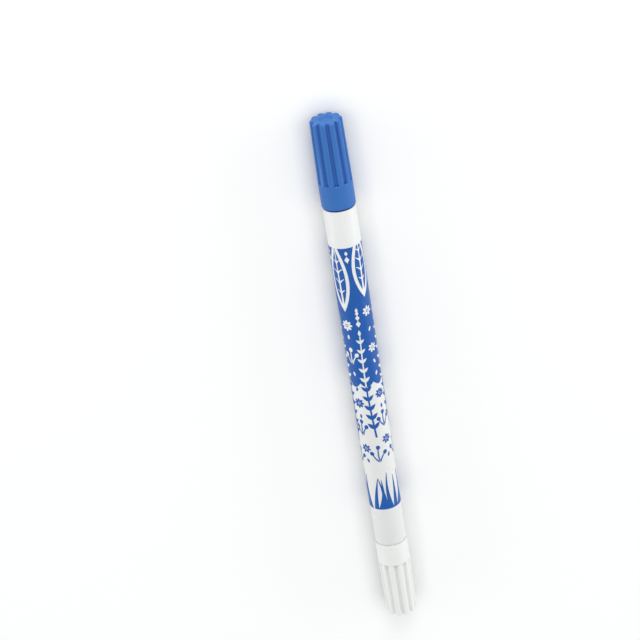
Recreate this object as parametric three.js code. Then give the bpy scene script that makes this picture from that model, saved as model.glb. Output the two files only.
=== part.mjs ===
// Double-ended ink eraser pen: a straight tube with an eraser felt at one end and a writing
// fibre at the other. Each felt sits in a moulded nib holder under a ribbed push-on cap.
// Millimetres, +Z up. The pen lies along X on the collars of its two caps, writer cap at +X,
// and the origin is on the table under its middle.

import * as THREE from 'three';

// Whole pen
const penLength = 140;

// Clearances
const pressFit = 0.03; // pieces pushed into the barrel, per side
const slideFit = 0.03; // cap over the holder's grip bead and sealing land, per side
const shoulderFit = 0.2; // cap's inner shoulder to the holder's shoulder, along the pen
const capSeatGap = 0.05; // cap's lip to the barrel's end face, along the pen
const seatGap = 0.03; // holder's neck on the barrel's end face
const endGap = 0.1; // between an ink core and what stops its two ends
const nibFit = 0.03; // nib in its holder and in its core, per side

// Barrel
const barrelDiameter = 8.0;
const barrelWall = 0.9;
const barrelEdge = 0.12; // chamfers on the end faces

// Nib holders: plug in the barrel, neck for the cap, sealing land, then the nose
const plugLength = 8;
const plugRelief = 0.1; // how far the plug stands back between its grip rings
const plugRingCount = 3;
const plugRingWidth = 0.8;
const plugWall = 0.7;
const seatLedge = 0.3; // how far the neck stands out past the bore
const neckLength = 5.2;
const beadHeight = 0.07; // grip bead round the neck
const beadWidth = 0.9;
const landLength = 2.0;
const noseStep = 0.2; // how far the nose's foot stands back from the sealing land
const noseLength = 5.2;
const noseWall = 0.6; // wall round the nib at the tip of the nose
const noseEdge = 0.15;

// Nibs
const eraserNib = { diameter: 2.6, reach: 3.1, pointLength: 1.5, pointRadius: 0.55 };
const writerNib = { diameter: 1.8, reach: 2.9, pointLength: 2.3, pointRadius: 0.3 };
const nibBite = 6; // how far a nib's tail goes into the fibre core
const tailEdge = 0.3;

// Fibre cores, their film sleeves and the plug between the two chambers
const filmThickness = 0.1;
const filmClearance = 0.1; // sleeve in the barrel, per side
const partitionLength = 6;
const partitionWeb = 1.2;
const partitionWall = 0.7;

// Caps: a lip set back under the rim, which shows as a dark line, a smooth collar, then ten
// rounded ribs that run out through the dished end
const collarWall = 0.62;
const collarStep = 0.02; // the collar stands this much proud of the ribs
const collarRunIn = 0.2; // plain wall between the inner shoulder and the foot of the flutes
const lipInset = 0.25;
const lipHeight = 0.42;
const rimEdge = 0.1;
const ribCount = 10;
const ribShare = 0.65; // share of the pitch that a rib takes, the rest is groove
const ribRoundness = 2.8; // exponent of the rib's section: 2 is an ellipse, more is squarer
const grooveDepth = 0.78;
const grooveWall = 0.6; // wall between a groove and the bore
const capDraft = 0.24; // how much the ribs close in towards the end, per side
const ribEndWidth = 0.6; // the ribs round over by this much inwards
const ribEndHeight = 0.6; // and by this much along the cap
const grooveEndRound = 0.3;
const tipRoom = 5.0; // free space past the longer nib
const endWall = 1.3;
const dishDiameter = 3.8;
const dishSlope = 0.6; // width of the dish's sloping side
const dishDepth = 0.36;

// Facets
const barrelSides = 60;
const innerSides = 36;
const ribSides = 10; // over one pitch, groove included
const roundSteps = 3;

// Sizes worked out from the values above. Heights along an end count from the barrel's end
// face, and positive ones are outside the barrel.
const barrelRadius = barrelDiameter / 2;
const boreRadius = barrelRadius - barrelWall;
const neckRadius = boreRadius + seatLedge;
const beadRadius = neckRadius + beadHeight;
const capBoreRadius = beadRadius + slideFit;
const collarRadius = capBoreRadius + collarWall;
const lipRadius = collarRadius - lipInset;
const crestRadius = collarRadius - collarStep;
const sealRadius = crestRadius - grooveDepth - grooveWall;
const landRadius = sealRadius - slideFit;
const shoulderRun = neckRadius - landRadius; // a 45 degree shoulder
const landStart = neckLength + shoulderRun;
const noseStart = landStart + landLength;
const noseEnd = noseStart + noseLength;
const fluteStart = landStart + shoulderFit + collarRunIn;
const capInnerEnd = noseEnd + Math.max(eraserNib.reach, writerNib.reach) + tipRoom;
const capEnd = capInnerEnd + endWall;
const barrelLength = penLength - 2 * capEnd;
const barrelEnd = barrelLength / 2;
const chamberEnd = partitionLength / 2 - barrelEnd;
const capSides = ribCount * ribSides;
const restHeight = collarRadius * Math.cos(Math.PI / capSides); // axis over a collar's flat

function material(name, color, roughness) {
  const made = new THREE.MeshStandardMaterial({ color, roughness, metalness: 0 });
  made.name = name;
  return made;
}

const whitePlastic = () => material('white polypropylene', 0xf2f4f2, 0.35);
const bluePlastic = () => material('blue polypropylene', 0x4474b9, 0.4);
const film = () => material('clear film', 0xe4e9ec, 0.25);
const whiteFibre = () => material('white fibre', 0xe9e6dc, 0.9);
const blueFibre = () => material('inked fibre', 0x24489c, 0.9);

function named(name, geometry, surface) {
  const mesh = new THREE.Mesh(geometry, surface);
  mesh.name = name;
  return mesh;
}

// Revolves a profile of [radius, height] pairs about the pen's axis. It runs up the outside
// and down the inside, and either starts and ends on the axis or closes on itself.
function revolve(profile, sides) {
  const points = profile.map(([radius, height]) => new THREE.Vector2(radius, height));
  return new THREE.LatheGeometry(points, sides).rotateX(Math.PI / 2);
}

// Skins a list of rings, each a list of points in step with its neighbours, and closes the
// first and the last ring with a fan.
function skin(rings) {
  const sides = rings[0].length;
  const corners = rings.flat();
  const faces = [];
  const middle = (ring) => new THREE.Vector3(0, 0, ring[0].z);
  const firstMiddle = corners.push(middle(rings[0])) - 1;
  const lastMiddle = corners.push(middle(rings.at(-1))) - 1;
  for (let side = 0; side < sides; side++) {
    const next = (side + 1) % sides;
    for (let ring = 0; ring < rings.length - 1; ring++) {
      const low = ring * sides;
      const high = low + sides;
      faces.push(low + side, low + next, high + next, low + side, high + next, high + side);
    }
    const last = (rings.length - 1) * sides;
    faces.push(firstMiddle, next, side, lastMiddle, last + side, last + next);
  }
  const geometry = new THREE.BufferGeometry().setFromPoints(corners);
  geometry.setIndex(faces);
  geometry.computeVertexNormals();
  return geometry;
}

function makeBarrel() {
  const profile = [
    [barrelRadius - barrelEdge, -barrelEnd],
    [barrelRadius, barrelEdge - barrelEnd],
    [barrelRadius, barrelEnd - barrelEdge],
    [barrelRadius - barrelEdge, barrelEnd],
    [boreRadius + barrelEdge, barrelEnd],
    [boreRadius, barrelEnd - barrelEdge],
    [boreRadius, barrelEdge - barrelEnd],
    [boreRadius + barrelEdge, -barrelEnd],
  ];
  profile.push(profile[0]);
  return named('barrel', revolve(profile, barrelSides), whitePlastic());
}

// A web with a skirt on both sides, pressed into the middle of the barrel
function makePartition() {
  const outer = boreRadius - pressFit;
  const inner = outer - partitionWall;
  const half = partitionLength / 2;
  const web = partitionWeb / 2;
  const profile = [
    [0, -web],
    [inner, -web],
    [inner, -half],
    [outer, -half],
    [outer, half],
    [inner, half],
    [inner, web],
    [0, web],
  ];
  return named('partition_plug', revolve(profile, innerSides), whitePlastic());
}

// Grip rings round the plug, from its tail towards the neck
function plugSide(ringRadius) {
  const pitch = plugLength / plugRingCount;
  const side = [];
  for (let ring = 0; ring < plugRingCount; ring++) {
    const middle = -plugLength + (ring + 0.5) * pitch;
    side.push(
      [ringRadius - plugRelief, middle - plugRingWidth / 2 - plugRelief],
      [ringRadius, middle - plugRingWidth / 2],
      [ringRadius, middle + plugRingWidth / 2],
      [ringRadius - plugRelief, middle + plugRingWidth / 2 + plugRelief],
    );
  }
  return side;
}

function makeHolder(name, nib) {
  const ringRadius = boreRadius - pressFit;
  const plugRadius = ringRadius - plugRelief;
  const skirtRadius = plugRadius - plugWall;
  const nibBore = nib.diameter / 2 + nibFit;
  const noseRadius = nibBore + noseWall;
  const beadMiddle = neckLength / 2;
  const profile = [
    [plugRadius, -plugLength],
    ...plugSide(ringRadius),
    [plugRadius, seatGap],
    [neckRadius, seatGap],
    [neckRadius, beadMiddle - beadWidth / 2],
    [beadRadius, beadMiddle - beadWidth / 4],
    [beadRadius, beadMiddle + beadWidth / 4],
    [neckRadius, beadMiddle + beadWidth / 2],
    [neckRadius, neckLength],
    [landRadius, landStart],
    [landRadius, noseStart],
    [landRadius - noseStep, noseStart],
    [noseRadius, noseEnd - noseEdge],
    [noseRadius - noseEdge, noseEnd],
    [nibBore, noseEnd],
    [nibBore, skirtRadius - nibBore],
    [skirtRadius, 0],
    [skirtRadius, -plugLength],
  ];
  profile.push(profile[0]);
  return named(name, revolve(profile, innerSides), whitePlastic());
}

// A rod of felt or fibre, ground to a cone with a rounded point
function makeNib(name, nib, surface) {
  const radius = nib.diameter / 2;
  const tail = -plugLength - nibBite;
  const tip = noseEnd + nib.reach;
  const profile = [
    [0, tail],
    [radius - tailEdge, tail],
    [radius, tail + tailEdge],
    [radius, tip - nib.pointLength],
  ];
  for (let step = 0; step < roundSteps; step++) {
    const turn = (step / roundSteps) * (Math.PI / 2);
    const height = tip - nib.pointRadius + nib.pointRadius * Math.sin(turn);
    profile.push([nib.pointRadius * Math.cos(turn), height]);
  }
  profile.push([0, tip]);
  return named(name, revolve(profile, innerSides), surface);
}

// Fibre rod with a blind hole that takes the nib's tail
function makeCore(name, nib, surface) {
  const radius = boreRadius - filmClearance - filmThickness - nibFit;
  const hole = nib.diameter / 2 + nibFit;
  const front = -plugLength - endGap;
  const holeEnd = -plugLength - nibBite - endGap;
  const back = chamberEnd + endGap;
  const profile = [
    [0, back],
    [radius, back],
    [radius, front],
    [hole, front],
    [hole, holeEnd],
    [0, holeEnd],
  ];
  return named(name, revolve(profile, innerSides), surface);
}

function makeWrap(name) {
  const outer = boreRadius - filmClearance;
  const inner = outer - filmThickness;
  const front = -plugLength - endGap;
  const back = chamberEnd + endGap;
  const profile = [
    [outer, back],
    [outer, front],
    [inner, front],
    [inner, back],
    [outer, back],
  ];
  return named(name, revolve(profile, innerSides), film());
}

// Even angles round the cap with the rib's height there, from 0 in a groove to 1 on a crest.
// One flat between two of them faces straight down, and the pen rests on it.
function ribSection() {
  return Array.from({ length: capSides }, (_, side) => {
    const angle = ((side + 0.5) * 2 * Math.PI) / capSides;
    const pitches = (side + 0.5) / ribSides;
    const share = Math.abs(pitches - Math.round(pitches)) / (ribShare / 2);
    const height = Math.max(0, 1 - share ** ribRoundness) ** (1 / ribRoundness);
    return { angle, height };
  });
}

function makeCap(name, surface) {
  const stations = ribSection();
  const ring = (z, crest, floor = crest) =>
    stations.map(({ angle, height }) => {
      const radius = floor + (crest - floor) * height;
      return new THREE.Vector3(radius * Math.cos(angle), radius * Math.sin(angle), z);
    });

  const boreEnd = sealRadius - capDraft;
  const dishRadius = dishDiameter / 2;
  const shoulderStart = neckLength + shoulderFit;
  const inside = [
    ring(capInnerEnd, boreEnd),
    ring(landStart + shoulderFit + landLength, sealRadius),
    ring(shoulderStart + capBoreRadius - sealRadius, sealRadius),
    ring(shoulderStart, capBoreRadius),
    ring(capSeatGap, capBoreRadius),
  ];
  const rim = capSeatGap + lipHeight;
  const collar = [
    ring(capSeatGap, lipRadius),
    ring(rim, lipRadius),
    ring(rim, collarRadius - rimEdge),
    ring(rim + rimEdge, collarRadius),
    ring(fluteStart - collarStep, collarRadius),
    ring(fluteStart, crestRadius),
  ];
  const crestEnd = crestRadius - capDraft;
  const floorEnd = crestEnd - grooveDepth;
  const ribs = [ring(fluteStart, crestRadius, crestRadius - grooveDepth)];
  for (let step = 0; step <= roundSteps; step++) {
    const turn = (step / roundSteps) * (Math.PI / 2);
    const drawnIn = 1 - Math.cos(turn);
    const z = capEnd - ribEndHeight * (1 - Math.sin(turn));
    ribs.push(ring(z, crestEnd - ribEndWidth * drawnIn, floorEnd - grooveEndRound * drawnIn));
  }
  const dish = [
    ring(capEnd, dishRadius),
    ring(capEnd - dishDepth, dishRadius - dishSlope),
  ];
  return named(name, skin([...inside, ...collar, ...ribs, ...dish]), surface);
}

// The pen is put together along its own Z axis, about its middle, and then laid down with
// a groove of each cap straight up
const pen = new THREE.Group();
pen.rotation.set(-Math.PI / 2, Math.PI / 2, 0);
pen.position.z = restHeight;
pen.add(makeBarrel(), makePartition());

const writerEnd = new THREE.Group();
writerEnd.position.z = barrelEnd;
writerEnd.add(
  makeHolder('writer_nib_holder', writerNib),
  makeNib('writer_nib', writerNib, blueFibre()),
  makeCore('writer_ink_core', writerNib, blueFibre()),
  makeWrap('writer_core_wrap'),
  makeCap('writer_cap', bluePlastic()),
);
pen.add(writerEnd);

const eraserEnd = new THREE.Group();
eraserEnd.position.z = -barrelEnd;
eraserEnd.rotation.x = Math.PI;
eraserEnd.add(
  makeHolder('eraser_nib_holder', eraserNib),
  makeNib('eraser_nib', eraserNib, whiteFibre()),
  makeCore('eraser_fluid_core', eraserNib, whiteFibre()),
  makeWrap('eraser_core_wrap'),
  makeCap('eraser_cap', whitePlastic()),
);
pen.add(eraserEnd);

const part = new THREE.Group();
part.add(pen);

export default part;
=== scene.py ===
import math
import random

import bpy
from mathutils import Matrix, Vector, noise
from mathutils.geometry import delaunay_2d_cdt


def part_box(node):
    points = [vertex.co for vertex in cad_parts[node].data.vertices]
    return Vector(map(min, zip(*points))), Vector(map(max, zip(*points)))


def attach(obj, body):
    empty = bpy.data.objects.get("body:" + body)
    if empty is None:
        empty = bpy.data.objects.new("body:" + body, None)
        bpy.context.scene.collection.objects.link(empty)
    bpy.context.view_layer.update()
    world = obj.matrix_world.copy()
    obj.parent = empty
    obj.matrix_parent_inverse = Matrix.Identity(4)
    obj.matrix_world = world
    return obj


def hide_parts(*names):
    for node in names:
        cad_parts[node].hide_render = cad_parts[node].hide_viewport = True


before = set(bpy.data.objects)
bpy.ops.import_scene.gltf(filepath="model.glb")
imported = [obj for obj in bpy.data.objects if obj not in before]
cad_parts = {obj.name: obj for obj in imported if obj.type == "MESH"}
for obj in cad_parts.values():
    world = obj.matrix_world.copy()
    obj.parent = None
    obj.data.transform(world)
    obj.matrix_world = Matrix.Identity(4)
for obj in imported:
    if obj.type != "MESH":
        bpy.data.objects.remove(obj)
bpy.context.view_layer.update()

mm = 0.001
random.seed(4)
print("frame loaded:", len(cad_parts), "nodes")


# Small helpers

def hexColour(code):
    # sRGB hex to the linear colour that the shader sockets take
    channels = [int(code[i:i + 2], 16) / 255 for i in (1, 3, 5)]
    return tuple(c / 12.92 if c <= 0.04045 else ((c + 0.055) / 1.055) ** 2.4
                 for c in channels) + (1.0,)


def addNode(tree, kind, inputs=None, **settings):
    node = tree.nodes.new(kind)
    for name, value in settings.items():
        setattr(node, name, value)
    for socket, value in (inputs or {}).items():
        if isinstance(value, bpy.types.NodeSocket):
            tree.links.new(value, node.inputs[socket])
        else:
            node.inputs[socket].default_value = value
    return node


def startMaterial(name):
    material = bpy.data.materials.new(name)
    material.use_nodes = True
    tree = material.node_tree
    tree.nodes.clear()
    return material, tree


def endMaterial(tree, shader):
    addNode(tree, "ShaderNodeOutputMaterial", {"Surface": shader.outputs[0]})


def penPoint(tree):
    # every mesh keeps its place in its vertices, so object coordinates are metres on the pen
    return addNode(tree, "ShaderNodeTexCoord").outputs["Object"]


def perMetre(sizeInMm):
    # a texture's scale for features of this real size
    return 1 / (sizeInMm * mm)


def addObject(name, data):
    thing = bpy.data.objects.new(name, data)
    bpy.context.scene.collection.objects.link(thing)
    return thing


def meshPiece(name, corners, faces, material, body, smoothAngle=32):
    mesh = bpy.data.meshes.new(name)
    mesh.from_pydata([tuple(c) for c in corners], [], faces)
    mesh.validate()
    mesh.shade_smooth()
    mesh.set_sharp_from_angle(angle=math.radians(smoothAngle))
    mesh.materials.append(material)
    piece = addObject(name, mesh)
    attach(piece, body)
    return piece


def skinRings(rings, closed):
    # rings of equal counts, joined in order; open ends are closed with a fan,
    # and a closed skin joins its last ring to its first
    count = len(rings[0])
    corners = [c for ring in rings for c in ring]
    faces = []
    pairs = [(k, k + 1) for k in range(len(rings) - 1)]
    if closed:
        pairs.append((len(rings) - 1, 0))
    for low, high in pairs:
        for side in range(count):
            after = (side + 1) % count
            faces.append((low * count + side, low * count + after,
                          high * count + after, high * count + side))
    if not closed:
        last = (len(rings) - 1) * count
        corners += [Vector((0, 0, rings[0][0].z)), Vector((0, 0, rings[-1][0].z))]
        for side in range(count):
            after = (side + 1) % count
            faces.append((len(corners) - 2, after, side))
            faces.append((len(corners) - 1, last + side, last + after))
    return corners, faces


def circleRing(radius, height, sides):
    return [Vector((radius * math.cos(2 * math.pi * k / sides),
                    radius * math.sin(2 * math.pi * k / sides), height))
            for k in range(sides)]


def arcPoints(centre, radius, start, end, steps):
    # (radius, height) points of a fillet in a profile, angles in degrees
    return [(centre[0] + radius * math.cos(math.radians(start + (end - start) * k / steps)),
             centre[1] + radius * math.sin(math.radians(start + (end - start) * k / steps)))
            for k in range(steps + 1)]


def revolve(profile, sides, placed):
    # a profile of (radius, height) in millimetres, up the outside and down the inside
    rings = [circleRing(radius, height, sides) for radius, height in profile]
    corners, faces = skinRings(rings, True)
    return [placed @ (c * mm) for c in corners], faces


def eased(share):
    # 0 to 1, level at both ends
    return (1 - math.cos(math.pi * share)) / 2


# Materials

def mouldedPolypropylene(name, face, grooveShadeColour, seamShadeColour, paleToneAndHighlight, scatter, gloss):
    # injection-moulded polypropylene: a soft, slightly waxy gloss, a faint waviness from the
    # mould, convex edges painted paler as handling wear and as painted highlight, painted shade in
    # its grooves, and a darker painted shade in its narrow steps and under its rim
    material, tree = startMaterial(name)
    point = penPoint(tree)
    cloudSize = 3.5
    flowSize = 0.9
    grainSize = 0.12  # spark-eroded mould grain, drawn a little coarse to show
    grooveShadeReach = 0.9  # painted shade: hollows about this deep get the darker groove colour
    seamShadeReach = 0.3  # painted shade: steps as narrow as this get the darker seam colour
    mottleShare = 0.1  # how far the clouds lean to the paler tone
    flowRise = 2.2  # height of the mould's waviness over that of its grain
    cloud = addNode(tree, "ShaderNodeTexNoise",
                    {"Vector": point, "Scale": perMetre(cloudSize), "Detail": 3.0})
    flow = addNode(tree, "ShaderNodeTexNoise",
                   {"Vector": point, "Scale": perMetre(flowSize), "Detail": 2.0})
    grain = addNode(tree, "ShaderNodeTexNoise",
                    {"Vector": point, "Scale": perMetre(grainSize), "Detail": 4.0,
                     "Roughness": 0.6})
    # handling wear and painted highlight: convex edges and crests, found by pointiness, are mixed
    # towards the pale tone
    edge = addNode(tree, "ShaderNodeNewGeometry").outputs["Pointiness"]
    wearAndHighlight = addNode(tree, "ShaderNodeMapRange",
                   {"Value": edge, "From Min": 0.51, "From Max": 0.6,
                    "To Min": 0.0, "To Max": 0.55})
    # painted shade: where ambient occlusion finds a hollow, mostly the groove floors, the colour
    # goes towards the darker groove colour
    reach = addNode(tree, "ShaderNodeAmbientOcclusion", {"Distance": grooveShadeReach * mm}, samples=8)
    grooveShadeAmount = addNode(tree, "ShaderNodeMapRange",
                     {"Value": reach.outputs["AO"], "From Min": 0.85, "From Max": 0.45,
                      "To Min": 0.0, "To Max": 0.6})
    # darker painted shade in the narrowest steps, such as the feet of the grooves, and on the lip
    # and rim rings that the mesh marks
    near = addNode(tree, "ShaderNodeAmbientOcclusion", {"Distance": seamShadeReach * mm}, samples=8)
    seamShadeAmount = addNode(tree, "ShaderNodeMapRange",
                     {"Value": near.outputs["AO"], "From Min": 0.96, "From Max": 0.72,
                      "To Min": 0.0, "To Max": 0.4})
    lipShadeAttribute = addNode(tree, "ShaderNodeAttribute", attribute_name="painted_seam_shade")
    lipAndSeamShade = addNode(tree, "ShaderNodeMath",
                   {0: seamShadeAmount.outputs[0], 1: lipShadeAttribute.outputs["Fac"]}, operation="MAXIMUM")
    grooveShaded = addNode(tree, "ShaderNodeMix",
                      {"Factor": grooveShadeAmount.outputs[0], "A": hexColour(face), "B": hexColour(grooveShadeColour)},
                      data_type="RGBA")
    seamShaded = addNode(tree, "ShaderNodeMix",
                   {"Factor": lipAndSeamShade.outputs[0], "A": grooveShaded.outputs["Result"],
                    "B": hexColour(seamShadeColour)}, data_type="RGBA")
    share = addNode(tree, "ShaderNodeMath",
                    {0: cloud.outputs[0], 1: mottleShare}, operation="MULTIPLY")
    mottled = addNode(tree, "ShaderNodeMix",
                      {"Factor": share.outputs[0], "A": seamShaded.outputs["Result"],
                       "B": hexColour(paleToneAndHighlight)}, data_type="RGBA")
    colour = addNode(tree, "ShaderNodeMix",
                     {"Factor": wearAndHighlight.outputs[0], "A": mottled.outputs["Result"],
                      "B": hexColour(paleToneAndHighlight)}, data_type="RGBA")
    rough = addNode(tree, "ShaderNodeMapRange",
                    {"Value": flow.outputs[0], "From Min": 0.3, "From Max": 0.7,
                     "To Min": 0.38, "To Max": 0.48})
    height = addNode(tree, "ShaderNodeMath",
                     {0: flow.outputs[0], 1: flowRise, 2: grain.outputs[0]},
                     operation="MULTIPLY_ADD")
    bump = addNode(tree, "ShaderNodeBump",
                   {"Height": height.outputs[0], "Strength": 0.10, "Distance": 0.05 * mm})
    shader = addNode(tree, "ShaderNodeBsdfPrincipled",
                     {"Base Color": colour.outputs["Result"], "Roughness": rough.outputs[0],
                      "Normal": bump.outputs[0], "IOR": 1.49, "Specular IOR Level": gloss,
                      "Subsurface Weight": scatter, "Subsurface Scale": 0.6 * mm,
                      "Subsurface Radius": (1.0, 1.0, 1.0)})
    endMaterial(tree, shader)
    return material


def extrudedPolypropylene(name, face, shade):
    # extruded polypropylene tube: glossier than a moulding, with fine draw lines along it
    material, tree = startMaterial(name)
    point = penPoint(tree)
    lineWidth = 0.25  # draw lines are finer than this and are drawn wider to show
    lineLength = 30.0
    cloudSize = 6.0
    stretched = addNode(tree, "ShaderNodeMapping",
                        {"Vector": point, "Scale": (perMetre(lineLength), perMetre(lineWidth),
                                                    perMetre(lineWidth))})
    lines = addNode(tree, "ShaderNodeTexNoise",
                    {"Vector": stretched.outputs[0], "Scale": 1.0, "Detail": 2.0})
    cloud = addNode(tree, "ShaderNodeTexNoise",
                    {"Vector": point, "Scale": perMetre(cloudSize), "Detail": 3.0})
    colour = addNode(tree, "ShaderNodeMix",
                     {"Factor": cloud.outputs[0], "A": hexColour(face), "B": hexColour(shade)},
                     data_type="RGBA")
    rough = addNode(tree, "ShaderNodeMapRange",
                    {"Value": cloud.outputs[0], "From Min": 0.3, "From Max": 0.7,
                     "To Min": 0.27, "To Max": 0.36})
    bump = addNode(tree, "ShaderNodeBump",
                   {"Height": lines.outputs[0], "Strength": 0.06, "Distance": 0.03 * mm})
    shader = addNode(tree, "ShaderNodeBsdfPrincipled",
                     {"Base Color": colour.outputs["Result"], "Roughness": rough.outputs[0],
                      "Normal": bump.outputs[0], "IOR": 1.49,
                      "Subsurface Weight": 0.12, "Subsurface Scale": 0.8 * mm,
                      "Subsurface Radius": (1.0, 1.0, 1.0)})
    endMaterial(tree, shader)
    return material


def padPrintInk(name, full, thin):
    # pad-printed ink: a thin satin film that is a little paler where it lies thin
    material, tree = startMaterial(name)
    point = penPoint(tree)
    mottleSize = 0.8
    speckSize = 0.15
    mottle = addNode(tree, "ShaderNodeTexNoise",
                     {"Vector": point, "Scale": perMetre(mottleSize), "Detail": 4.0})
    specks = addNode(tree, "ShaderNodeTexNoise",
                     {"Vector": point, "Scale": perMetre(speckSize), "Detail": 2.0})
    thinness = addNode(tree, "ShaderNodeMapRange",
                       {"Value": mottle.outputs[0], "From Min": 0.45, "From Max": 0.8,
                        "To Min": 0.0, "To Max": 0.5})
    colour = addNode(tree, "ShaderNodeMix",
                     {"Factor": thinness.outputs[0], "A": hexColour(full),
                      "B": hexColour(thin)}, data_type="RGBA")
    bump = addNode(tree, "ShaderNodeBump",
                   {"Height": specks.outputs[0], "Strength": 0.08, "Distance": 0.02 * mm})
    shader = addNode(tree, "ShaderNodeBsdfPrincipled",
                     {"Base Color": colour.outputs["Result"], "Roughness": 0.4,
                      "Normal": bump.outputs[0], "IOR": 1.5, "Specular IOR Level": 0.25})
    endMaterial(tree, shader)
    return material


def bondedFibre(name, face, gap):
    # bonded acrylic fibre: matte, with fine strands that run along the rod
    material, tree = startMaterial(name)
    point = penPoint(tree)
    strandWidth = 0.09  # real fibres are about 0.02 mm and are drawn wider to show
    strandLength = 4.0
    stretched = addNode(tree, "ShaderNodeMapping",
                        {"Vector": point, "Scale": (perMetre(strandLength),
                                                    perMetre(strandWidth),
                                                    perMetre(strandWidth))})
    strands = addNode(tree, "ShaderNodeTexNoise",
                      {"Vector": stretched.outputs[0], "Scale": 1.0, "Detail": 5.0,
                       "Distortion": 0.4})
    colour = addNode(tree, "ShaderNodeMix",
                     {"Factor": strands.outputs[0], "A": hexColour(gap), "B": hexColour(face)},
                     data_type="RGBA")
    bump = addNode(tree, "ShaderNodeBump",
                   {"Height": strands.outputs[0], "Strength": 0.5, "Distance": 0.04 * mm})
    shader = addNode(tree, "ShaderNodeBsdfPrincipled",
                     {"Base Color": colour.outputs["Result"], "Roughness": 0.85,
                      "Normal": bump.outputs[0], "Sheen Weight": 0.3})
    endMaterial(tree, shader)
    return material


def blownFilm(name, face):
    # thin polypropylene film: smooth and glossy, with slack creases along it
    material, tree = startMaterial(name)
    creaseSize = 1.6
    crease = addNode(tree, "ShaderNodeTexNoise",
                     {"Vector": penPoint(tree), "Scale": perMetre(creaseSize), "Detail": 2.0})
    bump = addNode(tree, "ShaderNodeBump",
                   {"Height": crease.outputs[0], "Strength": 0.4, "Distance": 0.05 * mm})
    shader = addNode(tree, "ShaderNodeBsdfPrincipled",
                     {"Base Color": hexColour(face), "Roughness": 0.2, "IOR": 1.49,
                      "Normal": bump.outputs[0]})
    endMaterial(tree, shader)
    return material


materials = {
    # colours: face, painted groove shade, painted seam shade, and a pale tone for mottling and for
    # painted edge highlights and wear
    "bluePlastic": mouldedPolypropylene("moulded polypropylene blue",
                                        "#3a70b9", "#3849a6", "#18247a", "#6494d6",
                                        0.12, 0.16),
    "whitePlastic": mouldedPolypropylene("moulded polypropylene white",
                                         "#eceeec", "#e5e9ea", "#cfd2d2", "#f6f8f6",
                                         0.2, 0.5),
    "whiteTube": extrudedPolypropylene("extruded polypropylene white", "#eaecea", "#e6e9e8"),
    "ink": padPrintInk("pad print ink blue", "#1f5aab", "#2f68b4"),
    "blueFibre": bondedFibre("bonded fibre blue", "#2b4da6", "#16296e"),
    "whiteFibre": bondedFibre("bonded fibre white", "#efece2", "#c9c4b4"),
    "film": blownFilm("polypropylene film", "#e4e9ec"),
}
print("materials made")


# Places from the frame. The pen is shaped along its own Z, about its middle, and laid along X;
# an end's own +Z points out of the barrel's end face.

barrelLow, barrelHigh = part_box("barrel")
capLow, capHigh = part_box("writer_cap")
barrelRadius = (barrelHigh.y - barrelLow.y) / 2 / mm
barrelFoot = barrelLow.x / mm
barrelTop = barrelHigh.x / mm
collarRadius = (capHigh.z - capLow.z) / 2 / mm
capRim = capLow.x / mm - barrelTop
capEnd = capHigh.x / mm - barrelTop
laidDown = Matrix(((0, 0, 1), (-1, 0, 0), (0, -1, 0))).to_4x4()
penPlace = Matrix.Translation((0, 0, collarRadius * mm)) @ laidDown
writerPlace = penPlace @ Matrix.Translation((0, 0, barrelTop * mm))
eraserPlace = (penPlace @ Matrix.Translation((0, 0, barrelFoot * mm))
               @ Matrix.Rotation(math.pi, 4, "X"))


# Barrel

barrelShape = {"wall": 0.9, "edge": 0.12, "outerSteps": 4, "innerSteps": 2, "sides": 144}


def makeBarrel():
    length = barrelTop - barrelFoot
    bore = barrelRadius - barrelShape["wall"]
    edge = barrelShape["edge"]
    outside, inside = barrelRadius - edge, bore + edge
    outer, inner = barrelShape["outerSteps"], barrelShape["innerSteps"]
    profile = (arcPoints((outside, edge), edge, -90, 0, outer)
               + arcPoints((outside, length - edge), edge, 0, 90, outer)
               + arcPoints((inside, length - edge), edge, 90, 180, inner)
               + arcPoints((inside, edge), edge, 180, 270, inner))
    placed = penPlace @ Matrix.Translation((0, 0, barrelFoot * mm))
    corners, faces = revolve(profile, barrelShape["sides"], placed)
    piece = meshPiece("barrel_tube", corners, faces, materials["whiteTube"],
                      "barrel")
    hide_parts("barrel")


makeBarrel()
print("barrel made")


# Caps: a lip set back under the rim, a smooth collar, ten rounded ribs that run out through the
# end, and a dished end

capShape = {
    # the lip and the collar; plain rings a little in from the collar's ends keep its shading even
    "lipInset": 0.25, "lipHeight": 0.42, "lipEdge": 0.06, "lipFoot": 0.03, "rimEdge": 0.1,
    "plainRing": 0.3, "collarStep": 0.02, "collarEdge": 0.1,
    # how much painted shade the rings get that turn from the lip to the rim
    "rimPaintedShades": [1.0, 0.8, 0.5, 0.2],
    # the ribs; their share and fillet are parts of their pitch
    "ribs": 10, "ribShare": 0.65, "ribRoundness": 2.8, "grooveFillet": 0.045,
    "fluteStart": 6.58, "grooveDepth": 0.78, "footFillet": 0.12, "draft": 0.24,
    "ribEndWidth": 0.42, "ribEndHeight": 0.45, "grooveEndRound": 0.3,
    # the inside
    "boreWall": 0.62, "boreEdge": 0.1, "shoulder": 5.4, "sealRadius": 2.72, "sealEnd": 8.11,
    "endWall": 1.3,
    # the dish and the mark of the moulding gate in its middle
    "dishRadius": 1.95, "dishSlope": 0.7, "dishDepth": 0.36,
    "gateRadius": 0.38, "gateHeight": 0.1, "gateSlope": 0.12,
    # how finely each is drawn
    "pointsPerRib": 28, "sectionSteps": 4, "edgeSteps": 3, "ribSteps": 6, "roundSteps": 14,
    "dishSteps": 8,
}


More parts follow.
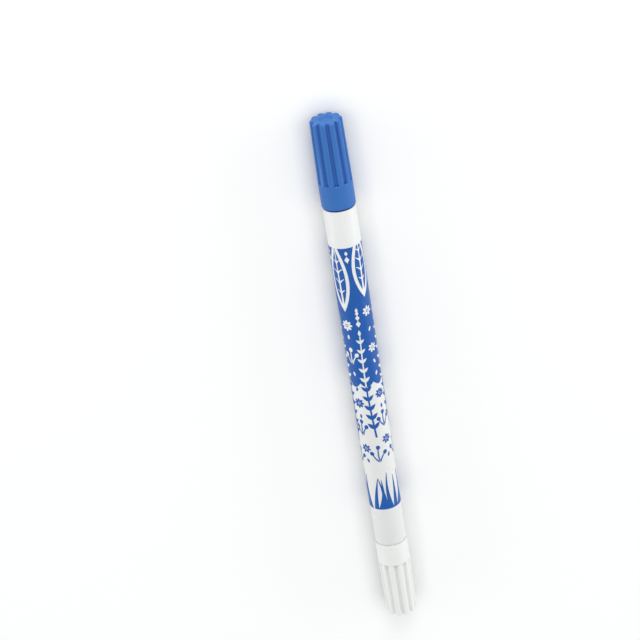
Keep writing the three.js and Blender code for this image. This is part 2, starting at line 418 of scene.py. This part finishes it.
def ribHeight(share):
    # a rib's rounded section over one pitch, 1 on the crest at 0 and 0 in the groove;
    # averaging over a short width fillets its corners
    power = capShape["ribRoundness"]
    steps = capShape["sectionSteps"]
    total = 0.0
    for k in range(-steps, steps + 1):
        place = share + capShape["grooveFillet"] * k / steps
        across = abs((place + 0.5) % 1 - 0.5) / (capShape["ribShare"] / 2)
        total += max(0.0, 1 - across ** power) ** (1 / power)
    return total / (2 * steps + 1)


def makeCap(name, node, body, material, placed):
    shape = capShape
    count = shape["pointsPerRib"]
    stations = [(2 * math.pi * (rib + k / count) / shape["ribs"], ribHeight(k / count))
                for rib in range(shape["ribs"]) for k in range(count)]

    def ring(height, crest, floor=None):
        low = crest if floor is None else floor
        return [Vector(((low + (crest - low) * lift) * math.cos(angle),
                        (low + (crest - low) * lift) * math.sin(angle), height))
                for angle, lift in stations]

    steps = shape["edgeSteps"]
    boreRadius = collarRadius - shape["boreWall"]
    boreEdge = shape["boreEdge"]
    rings = [ring(capEnd - shape["endWall"], shape["sealRadius"] - shape["draft"]),
             ring(shape["sealEnd"], shape["sealRadius"]),
             ring(shape["shoulder"] + boreRadius - shape["sealRadius"], shape["sealRadius"]),
             ring(shape["shoulder"], boreRadius),
             ring(capRim + boreEdge, boreRadius),
             ring(capRim, boreRadius + boreEdge)]
    # the lip, then the collar: a rounded rim, a straight side and a small edge at its top
    lip = collarRadius - shape["lipInset"]
    lipEdge = shape["lipEdge"]
    lipFoot = shape["lipFoot"]
    rim = shape["rimEdge"]
    rimHeight = capRim + shape["lipHeight"]
    firstShaded = len(rings)
    for radius, height in arcPoints((lip - lipEdge, capRim + lipEdge), lipEdge, -90, 0, steps):
        rings.append(ring(height, radius))
    rings.append(ring(rimHeight - lipFoot, lip))
    rings.append(ring(rimHeight, lip + lipFoot))
    paintedShades = [1.0] * (len(rings) - firstShaded) + shape["rimPaintedShades"]
    for radius, height in arcPoints((collarRadius - rim, rimHeight + rim), rim, -90, 0,
                                    steps + 1):
        rings.append(ring(height, radius))
    edge = shape["collarEdge"]
    top = shape["fluteStart"]
    for height in (rimHeight + rim + shape["plainRing"], top - shape["plainRing"], top - edge):
        rings.append(ring(height, collarRadius))
    for k in range(1, steps + 1):
        turn = math.pi / 2 * k / steps
        rings.append(ring(top - edge * (1 - math.sin(turn)),
                          collarRadius - shape["collarStep"] * k / steps,
                          collarRadius - edge * (1 - math.cos(turn))))
    # the ledge at the foot of the grooves, with a small fillet up to their floor
    crest = collarRadius - shape["collarStep"]
    floor = crest - shape["grooveDepth"]
    fillet = shape["footFillet"]
    for k in range(steps + 1):
        turn = math.pi / 2 * k / steps
        rings.append(ring(top + fillet * (1 - math.cos(turn)), crest,
                          floor + fillet * (1 - math.sin(turn))))
    # the ribs close in a little and then round over to the end, the grooves later than they
    roundStart = capEnd - shape["ribEndHeight"]
    for k in range(1, shape["ribSteps"]):
        share = k / shape["ribSteps"]
        rings.append(ring(top + (roundStart - top) * share,
                          crest - shape["draft"] * share, floor - shape["draft"] * share))
    for k in range(shape["roundSteps"] + 1):
        turn = math.pi / 2 * k / shape["roundSteps"]
        left = shape["ribEndHeight"] * (1 - math.sin(turn))  # what is left of the cap's length
        late = max(0.0, 1 - left / shape["grooveEndRound"])
        rings.append(ring(capEnd - left,
                          crest - shape["draft"] - shape["ribEndWidth"] * (1 - math.cos(turn)),
                          floor - shape["draft"]
                          - shape["grooveEndRound"] * (1 - math.sqrt(1 - late ** 2))))
    for k in range(shape["dishSteps"] + 1):
        share = k / shape["dishSteps"]
        rings.append(ring(capEnd - shape["dishDepth"] * eased(share),
                          shape["dishRadius"] - shape["dishSlope"] * share))
    for k in range(steps + 1):
        share = k / steps
        rings.append(ring(capEnd - shape["dishDepth"] + shape["gateHeight"] * eased(share),
                          shape["gateRadius"] - shape["gateSlope"] * share))
    corners, faces = skinRings(rings, False)
    corners = [placed @ (c * mm) for c in corners]
    piece = meshPiece(name, corners, faces, material, body, smoothAngle=38)
    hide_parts(node)
    # the material reads from the mesh how much painted shade the lip and the rim get
    attribute = piece.data.attributes.new("painted_seam_shade", "FLOAT", "POINT")
    for k, shade in enumerate(paintedShades):
        for side in range(len(stations)):
            attribute.data[(firstShaded + k) * len(stations) + side].value = shade


makeCap("writer_cap_moulding", "writer_cap", "writer_cap",
        materials["bluePlastic"], writerPlace)
makeCap("eraser_cap_moulding", "eraser_cap", "eraser_cap",
        materials["whitePlastic"], eraserPlace)
print("caps made")


# Nib holders: a plug with grip rings in the barrel, the neck and bead that a cap grips, a
# sealing land, and the nose round the nib

holderShape = {
    # the plug and its grip rings
    "plugRadius": 2.97, "plugLength": 8.0, "ringHeight": 0.1, "ringWidth": 0.8, "rings": 3,
    "skirtRadius": 2.27,
    # the neck, its bead, and the cone down to the sealing land
    "seat": 0.03, "seatEdge": 0.05, "neckRadius": 3.4, "neckLength": 5.2, "neckEdge": 0.1,
    "beadHeight": 0.07, "beadWidth": 0.9,
    "coneFillet": 0.05, "landRunIn": 0.07, "landRadius": 2.69, "landEnd": 7.91, "landEdge": 0.06,
    # the nose and its mouth round the nib
    "noseFoot": 2.49, "noseFillet": 0.04, "noseEnd": 13.11, "noseWall": 0.6, "noseBulge": 0.05,
    "noseEdge": 0.15, "nibFit": 0.03, "mouthEdge": 0.05,
    # how finely each is drawn
    "ringSteps": 6, "beadSteps": 8, "noseSteps": 11, "sides": 96,
}
nibShape = {
    "writer": {"diameter": 1.8, "reach": 2.9, "pointLength": 2.3, "pointRadius": 0.3,
               "bulge": 0.03},
    "eraser": {"diameter": 2.6, "reach": 3.1, "pointLength": 1.5, "pointRadius": 0.55,
               "bulge": 0.06},
    "tail": 14.0, "tailEdge": 0.3, "tailMiddle": 0.02, "shank": 2.0,
    # the grinding starts this far before the cone; its grain has so many swells in a
    # millimetre, and the bias keeps it inside the rod
    "groundLength": 0.6, "fuzz": 0.012, "grainAcross": 9, "grainAlong": 1.6, "grainBias": 0.8,
    "groundSteps": 5, "coneSteps": 16, "tipSteps": 8, "sides": 72,
}


def makeHolder(name, node, nib, placed):
    shape = holderShape
    bore = nib["diameter"] / 2 + shape["nibFit"]
    plug = shape["plugRadius"] - shape["ringHeight"]
    profile = [(plug, -shape["plugLength"])]
    halfWidth = shape["ringWidth"] / 2 + shape["ringHeight"]
    for k in range(shape["rings"]):
        middle = -shape["plugLength"] + (k + 0.5) * shape["plugLength"] / shape["rings"]
        for j in range(shape["ringSteps"] + 1):
            turn = math.pi * j / shape["ringSteps"]
            profile.append((plug + shape["ringHeight"] * math.sin(turn),
                            middle - halfWidth * math.cos(turn)))
    profile.append((plug, shape["seat"]))
    neck = shape["neckRadius"]
    edge = shape["seatEdge"]
    profile += arcPoints((neck - edge, shape["seat"] + edge), edge, -90, 0, 2)
    for j in range(shape["beadSteps"] + 1):
        share = j / shape["beadSteps"]
        profile.append((neck + shape["beadHeight"] * math.sin(math.pi * share),
                        shape["neckLength"] / 2 + shape["beadWidth"] * (share - 0.5)))
    # the neck's edge turns by 45 degrees into a cone, and 0.41 is the tangent of half of that
    edge = shape["neckEdge"]
    edgeStart = shape["neckLength"] - edge * 0.41
    profile += arcPoints((neck - edge, edgeStart), edge, 0, 45, 3)
    land = shape["landRadius"]
    landStart = shape["neckLength"] + neck - land
    fillet = shape["coneFillet"]
    edge = shape["landEdge"]
    profile += [(land + fillet, landStart - fillet), (land, landStart + shape["landRunIn"])]
    profile += arcPoints((land - edge, shape["landEnd"] - edge), edge, 0, 90, 3)
    edge = shape["noseEdge"]
    noseTip = bore + shape["noseWall"]
    noseLength = shape["noseEnd"] - edge - shape["landEnd"]
    profile.append((shape["noseFoot"] + shape["noseFillet"], shape["landEnd"]))
    for j in range(1, shape["noseSteps"]):
        share = j / shape["noseSteps"]
        profile.append((shape["noseFoot"] + (noseTip - shape["noseFoot"]) * share
                        + shape["noseBulge"] * math.sin(math.pi * share),
                        shape["landEnd"] + noseLength * share))
    profile += arcPoints((noseTip - edge, shape["noseEnd"] - edge), edge, 0, 90, 4)
    mouth = shape["mouthEdge"]
    profile += [(bore + mouth, shape["noseEnd"]), (bore, shape["noseEnd"] - mouth),
                (bore, shape["skirtRadius"] - bore), (shape["skirtRadius"], 0),
                (shape["skirtRadius"], -shape["plugLength"])]
    corners, faces = revolve(profile, shape["sides"], placed)
    piece = meshPiece(name, corners, faces, materials["whitePlastic"], "barrel")
    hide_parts(node)


def makeNib(name, node, nib, material, placed):
    # ground from bonded rod: a cone with a rounded point, a little rough where it was cut
    shape = nibShape
    radius = nib["diameter"] / 2
    tip = holderShape["noseEnd"] + nib["reach"]
    coneFoot = tip - nib["pointLength"]
    coneTop = tip - nib["pointRadius"]
    ground = shape["groundLength"]
    profile = [(shape["tailMiddle"], -shape["tail"]), (radius - shape["tailEdge"], -shape["tail"]),
               (radius, -shape["tail"] + shape["tailEdge"]), (radius, -shape["shank"])]
    for k in range(shape["groundSteps"]):
        profile.append((radius, coneFoot - ground + ground * k / shape["groundSteps"]))
    for k in range(shape["coneSteps"] + 1):
        share = k / shape["coneSteps"]
        profile.append((radius + (nib["pointRadius"] - radius) * share
                        + nib["bulge"] * math.sin(math.pi * share),
                        coneFoot + (coneTop - coneFoot) * share))
    for k in range(1, shape["tipSteps"]):
        turn = math.pi / 2 * k / shape["tipSteps"]
        profile.append((nib["pointRadius"] * math.cos(turn),
                        coneTop + nib["pointRadius"] * math.sin(turn)))
    rings = [circleRing(across, height, shape["sides"]) for across, height in profile]
    for ring in rings:
        if ring[0].z < coneFoot - 2 * ground:
            continue
        for corner in ring:
            grain = noise.noise(Vector((corner.x * shape["grainAcross"],
                                        corner.y * shape["grainAcross"],
                                        corner.z * shape["grainAlong"])))
            push = 1 + (grain - shape["grainBias"]) * shape["fuzz"] / radius
            corner.x *= push
            corner.y *= push
    corners, faces = skinRings(rings, False)
    corners = [placed @ (c * mm) for c in corners]
    piece = meshPiece(name, corners, faces, material, "barrel", smoothAngle=50)
    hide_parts(node)


makeHolder("writer_holder_moulding", "writer_nib_holder", nibShape["writer"], writerPlace)
makeHolder("eraser_holder_moulding", "eraser_nib_holder", nibShape["eraser"], eraserPlace)
makeNib("writer_fibre_nib", "writer_nib", nibShape["writer"], materials["blueFibre"],
        writerPlace)
makeNib("eraser_felt_nib", "eraser_nib", nibShape["eraser"], materials["whiteFibre"],
        eraserPlace)

# what stays closed inside the barrel keeps its solid and takes a finish
hiddenFinishes = {"partition_plug": "whitePlastic", "writer_ink_core": "blueFibre",
                  "eraser_fluid_core": "whiteFibre", "writer_core_wrap": "film",
                  "eraser_core_wrap": "film"}
for node, finish in hiddenFinishes.items():
    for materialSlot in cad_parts[node].material_slots:
        materialSlot.material = materials[finish]
print("nib holders, nibs and inner pieces made")


# Print: one colour of ink, a plain pattern of leaves, daisies, berries and grass. It is drawn
# flat, u round the tube to the right as seen from the front and v along it from the print's
# foot, both in millimetres, and then wrapped round the tube.

printShape = {
    # the foot is measured from the end of the white cap
    "foot": 33.4, "height": 74.5, "seamGap": 2.2, "film": 0.02, "lift": 0.003, "slices": 64,
    "fieldFoot": 37.2, "lobes": 7, "lobeDepth": 1.2, "lobeSteps": 10, "outline": 0.85,
    # outlined leaves: base u and v, turn from the u axis in degrees, length, width, bow
    "bigLeaves": [(-2.75, 57.2, 91, 19.6, 5.0, 0.1), (2.85, 60.4, 89, 18.2, 5.0, -0.1),
                  (8.7, 57.4, 90, 19.2, 5.0, -0.1), (-8.7, 60.6, 90, 18.0, 5.0, 0.1)],
    # daisies: u, v, radius, petals
    "daisies": [(-2.9, 53.4, 1.5, 8), (2.95, 56.6, 1.4, 7), (2.9, 46.4, 1.3, 7),
                (-2.9, 31.4, 1.4, 8), (2.95, 33.4, 1.35, 8), (2.95, 20.2, 1.35, 7),
                (-2.9, 18.2, 1.3, 7), (8.6, 53.2, 1.4, 8), (8.6, 33.0, 1.4, 8),
                (8.6, 20.6, 1.3, 7), (-8.6, 56.4, 1.4, 7), (-8.6, 45.4, 1.3, 7),
                (-8.6, 33.6, 1.3, 7), (-8.6, 21.4, 1.4, 8)],
    # sprigs: base u and v, top u and v, bow, pairs of leaves, leaf length
    "sprigs": [(0.3, 21.4, 0.0, 50.4, 0.5, 10, 2.5), (-5.8, 19.6, -5.6, 48.4, -0.4, 10, 2.4),
               (5.9, 23.4, 5.6, 52.4, 0.4, 10, 2.4), (11.3, 21.0, 11.2, 46.0, 0.0, 8, 2.3)],
    # berries on stalks: foot u and v, turn, stalk length
    "berries": [(-2.9, 42.6, 90, 4.0), (-2.95, 42.6, 118, 2.9), (-2.85, 42.6, 62, 2.9),
                (-3.1, 22.0, 90, 4.0), (-3.15, 22.0, 118, 2.8), (-3.05, 22.0, 66, 2.8),
                (2.95, 24.0, 90, 4.0), (2.9, 24.0, 120, 2.8), (3.0, 24.0, 60, 2.8),
                (0.2, 14.2, 90, 4.2), (0.1, 14.2, 122, 3.0), (0.3, 14.2, 58, 3.0),
                (8.6, 43.0, 90, 4.0), (8.55, 43.0, 118, 2.9), (8.65, 43.0, 62, 2.9),
                (-8.6, 24.8, 90, 4.0), (-8.65, 24.8, 118, 2.9), (-8.55, 24.8, 62, 2.9),
                (5.8, 14.6, 90, 4.4), (5.7, 14.6, 122, 3.0), (5.9, 14.6, 58, 3.0),
                (-5.6, 13.4, 90, 3.8), (-5.7, 13.4, 122, 2.7), (-5.5, 13.4, 58, 2.7)],
    # single seeds: u, v, turn
    "seeds": [(-2.9, 50.2, 90), (2.9, 51.6, 70), (2.9, 42.6, 110), (2.95, 39.2, 75),
              (-2.9, 39.8, 105), (-2.85, 35.4, 75), (2.95, 29.8, 90), (-2.9, 27.6, 90),
              (2.9, 15.6, 70), (-2.8, 14.6, 110), (8.6, 49.6, 90), (8.5, 39.8, 75),
              (8.6, 28.2, 105), (8.5, 24.6, 80), (8.6, 16.2, 100), (-8.6, 52.0, 90),
              (-8.6, 40.4, 110), (-8.5, 29.8, 75), (-8.6, 16.8, 90)],
    # chains of diamonds that dwindle upwards: u, v, count
    "chains": [(0.1, 53.8, 5), (5.8, 55.6, 5), (-5.8, 52.0, 5), (-0.25, 71.4, 2),
               (6.0, 71.4, 2), (-5.4, 71.4, 2), (11.2, 49.6, 4), (-11.2, 49.6, 4)],
    # cuts along the tube start this far below the print's foot and end this far past its top;
    # points that are nearer to each other than the weld become one
    "sliceFoot": 2.0, "sliceTop": 4.0, "weld": 1e-5,
}

# how each motif is drawn: line widths are in millimetres, turns in degrees, and the rest are
# shares of the motif's own size
motifShape = {
    "leaf": {"rise": 0.86, "leastHalf": 0.03, "insetFoot": 1.9, "insetEnds": 2.25},
    "vein": {"start": 0.02, "end": 0.86, "foot": 0.6, "tip": 0.25, "turn": 48, "reach": 0.95,
             "stretch": 1.15, "bow": 0.12, "sideFoot": 0.42, "sideTip": 0.2,
             "pairs": (0.26, 0.40, 0.54, 0.68)},
    "daisy": {"petalPlace": 0.62, "petalLong": 0.38, "petalShort": 0.23, "eye": 0.17},
    "sprig": {"foot": 0.5, "tip": 0.3, "bareFoot": 0.9, "bareEnds": 0.7, "dwindle": 0.4,
              "turn": 42, "leafWidth": 0.42, "bow": 0.15, "endLength": 0.7, "endWidth": 0.3},
    "berry": {"bow": 0.15, "foot": 0.36, "tip": 0.28, "long": 0.62, "short": 0.54},
    "seed": {"long": 0.62, "short": 0.3},
    "diamond": {"half": 0.62, "tall": 1.5, "dwindle": 0.6, "pitch": 1.9, "closing": 0.12},
    "grass": {"blades": 17, "foot": -0.4, "height": 11.6, "least": 0.62, "width": 1.4,
              "tip": 0.12, "lean": 10, "bow": 0.7, "stray": 0.25},
}


def oval(u, v, long, short, turn=0.0, count=14):
    cosine, sine = math.cos(math.radians(turn)), math.sin(math.radians(turn))
    points = []
    for k in range(count):
        a = 2 * math.pi * k / count
        x, y = long * math.cos(a), short * math.sin(a)
        points.append((u + x * cosine - y * sine, v + x * sine + y * cosine))
    return points


def spine(base, turn, length, bow, start=0.0, end=1.0, count=12):
    # points along a bowed line, with the direction across it at each
    along = Vector((math.cos(math.radians(turn)), math.sin(math.radians(turn))))
    across = Vector((-along.y, along.x))
    points = []
    for k in range(count + 1):
        share = start + (end - start) * k / count
        point = Vector(base) + along * (length * share) + across * (
            bow * math.sin(math.pi * share))
        slope = along * length + across * (bow * math.pi * math.cos(math.pi * share))
        points.append((point, Vector((-slope.y, slope.x)).normalized()))
    return points


def leafShape(base, turn, length, width, bow, inset=0.0, count=12):
    # a pointed leaf round a bowed spine, widest a little below its middle; an inset leaf starts
    # and ends further in
    leaf = motifShape["leaf"]
    near = inset * leaf["insetFoot"] / length
    span = 1 - near * leaf["insetEnds"]
    left, right = [], []
    for k, (point, across) in enumerate(spine(base, turn, length, bow, near, near + span, count)):
        share = near + span * k / count
        half = width / 2 * math.sin(math.pi * share ** leaf["rise"]) - inset
        half = 0.0 if k in (0, count) else max(half, leaf["leastHalf"])
        left.append(point + across * half)
        right.append(point - across * half)
    return right + left[::-1][1:-1]


def stroke(points, startWidth, endWidth):
    # a tapered line along points that come with the direction across them
    left, right = [], []
    for k, (point, across) in enumerate(points):
        half = (startWidth + (endWidth - startWidth) * k / (len(points) - 1)) / 2
        left.append(point + across * half)
        right.append(point - across * half)
    return right + left[::-1]


def bigLeaf(u, v, turn, length, width, bow):
    line = printShape["outline"]
    vein = motifShape["vein"]
    veins = [stroke(spine((u, v), turn, length, bow, vein["start"], vein["end"]),
                    vein["foot"], vein["tip"])]
    for share in vein["pairs"]:
        point = spine((u, v), turn, length, bow, share, share, 1)[0][0]
        half = width / 2 * math.sin(math.pi * share ** motifShape["leaf"]["rise"])
        reach = (half - line) * vein["reach"]
        for side in (-1, 1):
            twig = spine(point, turn + side * vein["turn"], reach * vein["stretch"],
                         -side * vein["bow"], count=4)
            veins.append(stroke(twig, vein["sideFoot"], vein["sideTip"]))
    return [("bare", [leafShape((u, v), turn, length, width, bow)]),
            ("ink", [leafShape((u, v), turn, length, width, bow, line)]),
            ("bare", veins)]


def daisy(u, v, radius, petals):
    form = motifShape["daisy"]
    shapes = []
    for k in range(petals):
        turn = 90 + 360 * k / petals
        reach = radius * form["petalPlace"]
        shapes.append(oval(u + reach * math.cos(math.radians(turn)),
                           v + reach * math.sin(math.radians(turn)),
                           radius * form["petalLong"], radius * form["petalShort"], turn))
    shapes.append(oval(u, v, radius * form["eye"], radius * form["eye"]))
    return [("flip", shapes)]


def sprig(u, v, topU, topV, bow, pairs, leafLength):
    form = motifShape["sprig"]
    turn = math.degrees(math.atan2(topV - v, topU - u))
    length = math.hypot(topU - u, topV - v)
    shapes = [stroke(spine((u, v), turn, length, bow), form["foot"], form["tip"])]
    for k in range(pairs):
        share = (k + form["bareFoot"]) / (pairs + form["bareEnds"])
        point = spine((u, v), turn, length, bow, share, share, 1)[0][0]
        size = leafLength * (1.0 - form["dwindle"] * share)
        for side in (-1, 1):
            shapes.append(leafShape(point, turn + side * form["turn"], size,
                                    size * form["leafWidth"], -side * form["bow"], count=8))
    shapes.append(leafShape((topU, topV), turn, leafLength * form["endLength"],
                            leafLength * form["endWidth"], 0.0, count=8))
    return [("flip", shapes)]


def berry(u, v, turn, length):
    form = motifShape["berry"]
    stalk = spine((u, v), turn, length, form["bow"], count=5)
    end = stalk[-1][0]
    return [("flip", [stroke(stalk, form["foot"], form["tip"]),
                      oval(end.x, end.y, form["long"], form["short"], turn)])]


def diamondChain(u, foot, number):
    form = motifShape["diamond"]
    shapes = []
    for k in range(number):
        size = form["half"] * (1 - form["dwindle"] * k / number)
        tall = size * form["tall"]
        v = foot + form["pitch"] * k * (1 - form["closing"] * k)
        shapes.append([(u, v - tall), (u + size, v), (u, v + tall), (u - size, v)])
    return shapes


def grassBlades(half):
    form = motifShape["grass"]
    blades = []
    for k in range(form["blades"]):
        u = (-half + 2 * half * (k + 0.5) / form["blades"]
             + random.uniform(-form["stray"], form["stray"]))
        lean = random.uniform(-form["lean"], form["lean"])
        tall = form["height"] * random.uniform(form["least"], 1.0)
        line = spine((u, form["foot"]), 90 + lean, tall,
                     random.uniform(-form["bow"], form["bow"]))
        blades.append(stroke(line, form["width"], form["tip"]))
    return blades


def fieldShape(half):
    # the inked field: straight at its top, scalloped along its foot
    shape = printShape
    lobe = 2 * half / shape["lobes"]
    points = [(half, shape["height"]), (-half, shape["height"])]
    for k in range(shape["lobes"]):
        for j in range(shape["lobeSteps"]):
            share = j / shape["lobeSteps"]
            points.append((-half + lobe * (k + share),
                           shape["fieldFoot"] - shape["lobeDepth"] * math.sin(math.pi * share)))
    points.append((half, shape["fieldFoot"]))
    return points


def printLayers(half):
    # painted in order: ink covers, bare uncovers, and flip turns one into the other
    shape = printShape
    layers = [("area", [[(-half, 0), (half, 0), (half, shape["height"]),
                         (-half, shape["height"])]]),
              ("ink", [fieldShape(half)])]
    for leaf in shape["bigLeaves"]:
        layers += bigLeaf(*leaf)
    layers.append(("bare", [diamond for chain in shape["chains"]
                            for diamond in diamondChain(*chain)]))
    for group, motif in (("daisies", daisy), ("sprigs", sprig), ("berries", berry)):
        for values in shape[group]:
            layers += motif(*values)
    seed = motifShape["seed"]
    layers.append(("flip", [oval(u, v, seed["long"], seed["short"], turn)
                            for u, v, turn in shape["seeds"]]))
    layers.append(("ink", grassBlades(half)))
    return layers


def anticlockwise(points):
    area = sum(points[k - 1][0] * points[k][1] - points[k][0] * points[k - 1][1]
               for k in range(len(points)))
    return points if area > 0 else points[::-1]


def inkedTriangles(layers, half):
    # the flat print, cut into triangles along all outlines, and those that are inked
    shape = printShape
    points, edges, polygons, owners = [], [], [], []
    for index, (_, outlines) in enumerate(layers):
        for outline in outlines:
            first = len(points)
            points += [Vector(point) for point in anticlockwise(outline)]
            polygons.append(list(range(first, len(points))))
            owners.append(index)
    # straight cuts along the tube, so that the film bends evenly round it
    for k in range(1, shape["slices"]):
        u = -half + 2 * half * k / shape["slices"]
        edges.append((len(points), len(points) + 1))
        points += [Vector((u, -shape["sliceFoot"])),
                   Vector((u, shape["height"] + shape["sliceTop"]))]
    flat = delaunay_2d_cdt(points, edges, polygons, 0, shape["weld"], True)
    inked = []
    for triangle, holders in zip(flat[2], flat[5]):
        state = None
        for index in sorted({owners[holder] for holder in holders}):
            mode = layers[index][0]
            if mode == "area":
                state = False
            elif state is not None:
                state = {"ink": True, "bare": False, "flip": not state}[mode]
        if state:
            inked.append(triangle)
    return flat[0], inked


def makePrint():
    shape = printShape
    half = math.pi * barrelRadius - shape["seamGap"] / 2
    points, inked = inkedTriangles(printLayers(half), half)
    used = sorted({k for triangle in inked for k in triangle})
    place = {k: n for n, k in enumerate(used)}
    count = len(used)
    low = barrelRadius + shape["lift"]
    corners = []
    for radius in (low + shape["film"], low):
        for k in used:
            turn = points[k].x / barrelRadius
            along = points[k].y + shape["foot"] - (capEnd + barrelTop)
            corners.append(penPlace @ (Vector((radius * math.sin(turn), -radius * math.cos(turn),
                                               along)) * mm))
    # an outer and an inner skin, and walls between them along each rim of the ink
    faces, rims = [], {}
    for triangle in inked:
        a, b, c = (place[k] for k in triangle)
        faces += [(a, b, c), (c + count, b + count, a + count)]
        for start, end in ((a, b), (b, c), (c, a)):
            if (end, start) in rims:
                del rims[(end, start)]
            else:
                rims[(start, end)] = True
    for start, end in rims:
        faces.append((start, start + count, end + count, end))
    meshPiece("barrel_print", corners, faces, materials["ink"], "barrel",
              smoothAngle=30)
    print("print made:", len(inked), "triangles of ink")


makePrint()


# Camera: at the photo's distance, tilt and roll. Its place, in mm from the pen's middle, and
# its turns are in the pen's own axes, in which the pen stands upright.

cameraView = {"place": (-8.84, -490.3, 283.2), "pitch": -28.42, "roll": -9.36,
              "focal": 129.4, "sensor": 36.0, "nearest": 0.01, "farthest": 20}


def makeCamera():
    data = bpy.data.cameras.new("camera")
    data.sensor_width = cameraView["sensor"]
    data.lens = cameraView["focal"]
    data.clip_start = cameraView["nearest"]
    data.clip_end = cameraView["farthest"]
    camera = addObject("camera", data)
    aim = Matrix.Rotation(math.radians(90 + cameraView["pitch"]), 4, "X")
    roll = Matrix.Rotation(math.radians(cameraView["roll"]), 4, "Z")
    place = Matrix.Translation(Vector(cameraView["place"]) * mm)
    camera.matrix_world = penPlace @ place @ aim @ roll
    bpy.context.scene.camera = camera


makeCamera()


# Stage and light

# a white board: its glow is only for the camera and for reflections, and it fades close to the
# pen, which paints a deeper contact shadow round the pen
stageShape = {"half": 6.0, "paintedShadowReach": 6.0, "glow": 0.2, "glowGone": 0.55}


def makeStage():
    half = stageShape["half"]
    corners = [(-half, -half, 0), (half, -half, 0), (half, half, 0), (-half, half, 0)]
    mesh = bpy.data.meshes.new("floor")
    mesh.from_pydata(corners, [], [(0, 1, 2, 3)])
    material, tree = startMaterial("pale matte board")
    ray = addNode(tree, "ShaderNodeLightPath")
    seen = addNode(tree, "ShaderNodeMath",
                   {0: ray.outputs["Is Camera Ray"], 1: ray.outputs["Is Glossy Ray"]},
                   operation="MAXIMUM")
    # painted contact shadow: the glow fades where ambient occlusion finds the pen close by
    reach = addNode(tree, "ShaderNodeAmbientOcclusion",
                    {"Distance": stageShape["paintedShadowReach"] * mm}, samples=2)
    glow = addNode(tree, "ShaderNodeMapRange",
                   {"Value": reach.outputs["AO"], "From Min": stageShape["glowGone"],
                    "From Max": 1.0, "To Min": 0.0, "To Max": stageShape["glow"]})
    lift = addNode(tree, "ShaderNodeMath", {0: seen.outputs[0], 1: glow.outputs[0]},
                   operation="MULTIPLY")
    board = addNode(tree, "ShaderNodeBsdfDiffuse", {"Color": hexColour("#ebecec")})
    light = addNode(tree, "ShaderNodeEmission",
                    {"Color": hexColour("#ffffff"), "Strength": lift.outputs[0]})
    both = addNode(tree, "ShaderNodeAddShader", {0: board.outputs[0], 1: light.outputs[0]})
    endMaterial(tree, both)
    mesh.materials.append(material)
    floor = addObject("floor", mesh)


# wide softboxes beside the pen, so that its middle is a little darker, and a smaller one off
# its blue end; places and sizes in metres, powers in watts
lampShapes = {
    "right": {"place": (0.0, -1.0, 0.20), "size": (1.4, 0.3), "power": 3.1},
    "left": {"place": (0.0, 1.0, 0.20), "size": (1.4, 0.3), "power": 2.2},
    "end": {"place": (0.85, -0.1, 0.55), "size": (0.4, 0.4), "power": 2.4},
}
# light from all round that is stronger from beyond the pen's blue end, its top in the photo
worldLight = {"whiteEnd": 0.32, "blueEnd": 1.22}


def makeLamps():
    target = Vector((0, 0, 0))  # the point on the table under the pen's middle
    for name, lamp in lampShapes.items():
        data = bpy.data.lights.new(name + "_softbox", "AREA")
        data.shape = "RECTANGLE"
        data.size, data.size_y = lamp["size"]
        data.energy = lamp["power"]
        light = addObject(name + "_softbox", data)
        light.location = lamp["place"]
        away = target - Vector(lamp["place"])
        light.rotation_mode = "QUATERNION"
        light.rotation_quaternion = away.to_track_quat("-Z", "Y")
    world = bpy.data.worlds.new("studio")
    world.use_nodes = True
    tree = world.node_tree
    towards = addNode(tree, "ShaderNodeSeparateXYZ",
                      {0: addNode(tree, "ShaderNodeTexCoord").outputs["Generated"]})
    strength = addNode(tree, "ShaderNodeMapRange",
                       {"Value": towards.outputs["X"], "From Min": -1.0, "From Max": 1.0,
                        "To Min": worldLight["whiteEnd"], "To Max": worldLight["blueEnd"]})
    background = tree.nodes["Background"]
    background.inputs["Color"].default_value = hexColour("#ffffff")
    tree.links.new(strength.outputs[0], background.inputs["Strength"])
    bpy.context.scene.world = world
    bpy.context.scene.view_settings.view_transform = "Standard"


makeStage()
makeLamps()
print("camera, stage and lamps made")
